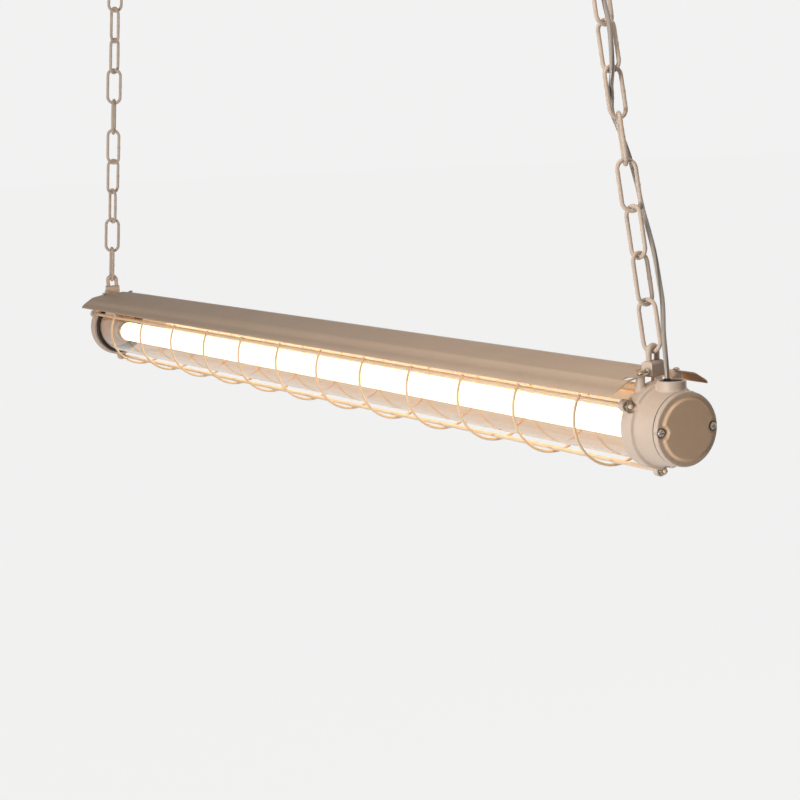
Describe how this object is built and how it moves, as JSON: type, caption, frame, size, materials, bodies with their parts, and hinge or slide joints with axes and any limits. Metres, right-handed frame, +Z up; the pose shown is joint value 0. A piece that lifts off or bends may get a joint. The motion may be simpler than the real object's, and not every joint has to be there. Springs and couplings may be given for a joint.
{
  "type": "cage pendant light",
  "caption": "Tubular pendant light: a glass tube with an LED tube between cast ends, wire guard rings on tie rods and a folded reflector, hung on two link chains.",
  "frame": {"origin": "centre of the four ceiling screw holes, on the ceiling plane", "axes": "+X along the lamp towards the end with the cable gland and the flat cover, +Y across the lamp, +Z up into the ceiling"},
  "size_m": [1.3314, 0.1128, 0.5539],
  "materials": {
    "paint": "beige powder coat, satin, on steel sheet, wire and chain",
    "casting_paint": "beige powder coat, satin, on cast aluminium",
    "rubber": "black moulded rubber",
    "zinc_steel": "zinc plated screws, nuts and washers",
    "clear_glass": "clear borosilicate glass",
    "lit_diffuser": "opal polycarbonate, lit warm white",
    "tube_aluminium": "lamp caps and strip, spun aluminium",
    "brass": "plain brass",
    "white_plastic": "moulded polycarbonate",
    "core_insulation": "insulated copper cores",
    "cable_sheath": "clear sheath over two laid cores"
  },
  "bodies": {
    "ceiling": {"near_ceiling_plate": "paint", "near_hook": "paint", "far_ceiling_plate": "paint", "far_hook": "paint", "ceiling_cable_grip": "rubber", "cable_top": "cable_sheath"},
    "near_top_link": {"near_top_link": "paint", "cable_upper": "cable_sheath"},
    "near_chain": {"near_chain": "paint", "cable_chain": "cable_sheath", "cable_lower": "cable_sheath"},
    "near_bottom_link": {"near_bottom_link": "paint", "cable_end": "cable_sheath"},
    "far_top_link": {"far_top_link": "paint"},
    "far_chain": {"far_chain": "paint"},
    "far_bottom_link": {"far_bottom_link": "paint"},
    "led_tube": {"diffuser": "lit_diffuser", "near_tube_cap": "tube_aluminium", "far_tube_cap": "tube_aluminium", "tube_pins": "brass", "light_strip": "tube_aluminium"},
    "lamp": {"near_housing": "casting_paint", "near_cover": "casting_paint", "cover_gasket": "rubber", "cover_screws": "zinc_steel", "far_cap": "casting_paint", "near_seal": "rubber", "far_seal": "rubber", "glass_tube": "clear_glass", "front_rod": "paint", "back_rod": "paint", "bottom_rod": "paint", "rod_nuts": "zinc_steel", "rod_washers": "zinc_steel", "guard_rings": "paint", "reflector": "paint", "reflector_screws": "zinc_steel", "near_hanger_block": "paint", "near_hanger_loop": "paint", "far_hanger_block": "paint", "far_hanger_loop": "paint", "hanger_screws": "zinc_steel", "near_holder_plate": "paint", "far_holder_plate": "paint", "near_lampholder": "white_plastic", "far_lampholder": "white_plastic", "holder_contacts": "brass", "terminal_block": "white_plastic", "supply_cores": "core_insulation", "holder_leads": "core_insulation", "earth_screw": "brass", "gland_bush": "rubber"}
  },
  "joints": [
    {"name": "swing_across", "type": "hinge", "parent": "ceiling", "child": "near_top_link", "pos_m": [0.54811, 0, -0.0303], "axis": [1, 0, 0], "range_deg": [-25, 25], "deforming": ["cable_top"]},
    {"name": "swing_along", "type": "hinge", "parent": "near_top_link", "child": "near_chain", "pos_m": [0.55629, 0, -0.07125], "axis": [0, 1, 0], "range_deg": [-6, 6], "deforming": ["cable_upper"]},
    {"name": "lamp_level", "type": "hinge", "parent": "near_chain", "child": "near_bottom_link", "pos_m": [0.62213, 0, -0.40073], "axis": [0, 1, 0], "range_deg": [-6, 6], "deforming": ["cable_lower"]},
    {"name": "lamp_roll", "type": "hinge", "parent": "near_bottom_link", "child": "lamp", "pos_m": [0.63036, 0, -0.44192], "axis": [1, 0, 0], "range_deg": [-20, 20], "deforming": ["cable_end"]},
    {"name": "tube_twist", "type": "hinge", "parent": "lamp", "child": "led_tube", "pos_m": [0.01125, 0, -0.51186], "axis": [1, 0, 0], "range_deg": [0, 90]},
    {"name": "far_swing_across", "type": "hinge", "parent": "ceiling", "child": "far_top_link", "pos_m": [-0.54811, 0, -0.0303], "axis": [1, 0, 0], "range_deg": [-25, 25]},
    {"name": "far_swing_along", "type": "hinge", "parent": "far_top_link", "child": "far_chain", "pos_m": [-0.55629, 0, -0.07125], "axis": [0, 1, 0], "range_deg": [-6, 6]},
    {"name": "far_level", "type": "hinge", "parent": "far_chain", "child": "far_bottom_link", "pos_m": [-0.62213, 0, -0.40073], "axis": [0, 1, 0], "range_deg": [-6, 6]}
  ],
  "couplings": [
    {"joint": "lamp_level", "follows": "swing_along", "ratio": -0.8941},
    {"joint": "far_swing_across", "follows": "swing_across", "ratio": 1},
    {"joint": "far_swing_along", "follows": "swing_along", "ratio": 1},
    {"joint": "far_level", "follows": "swing_along", "ratio": -0.8941}
  ]
}
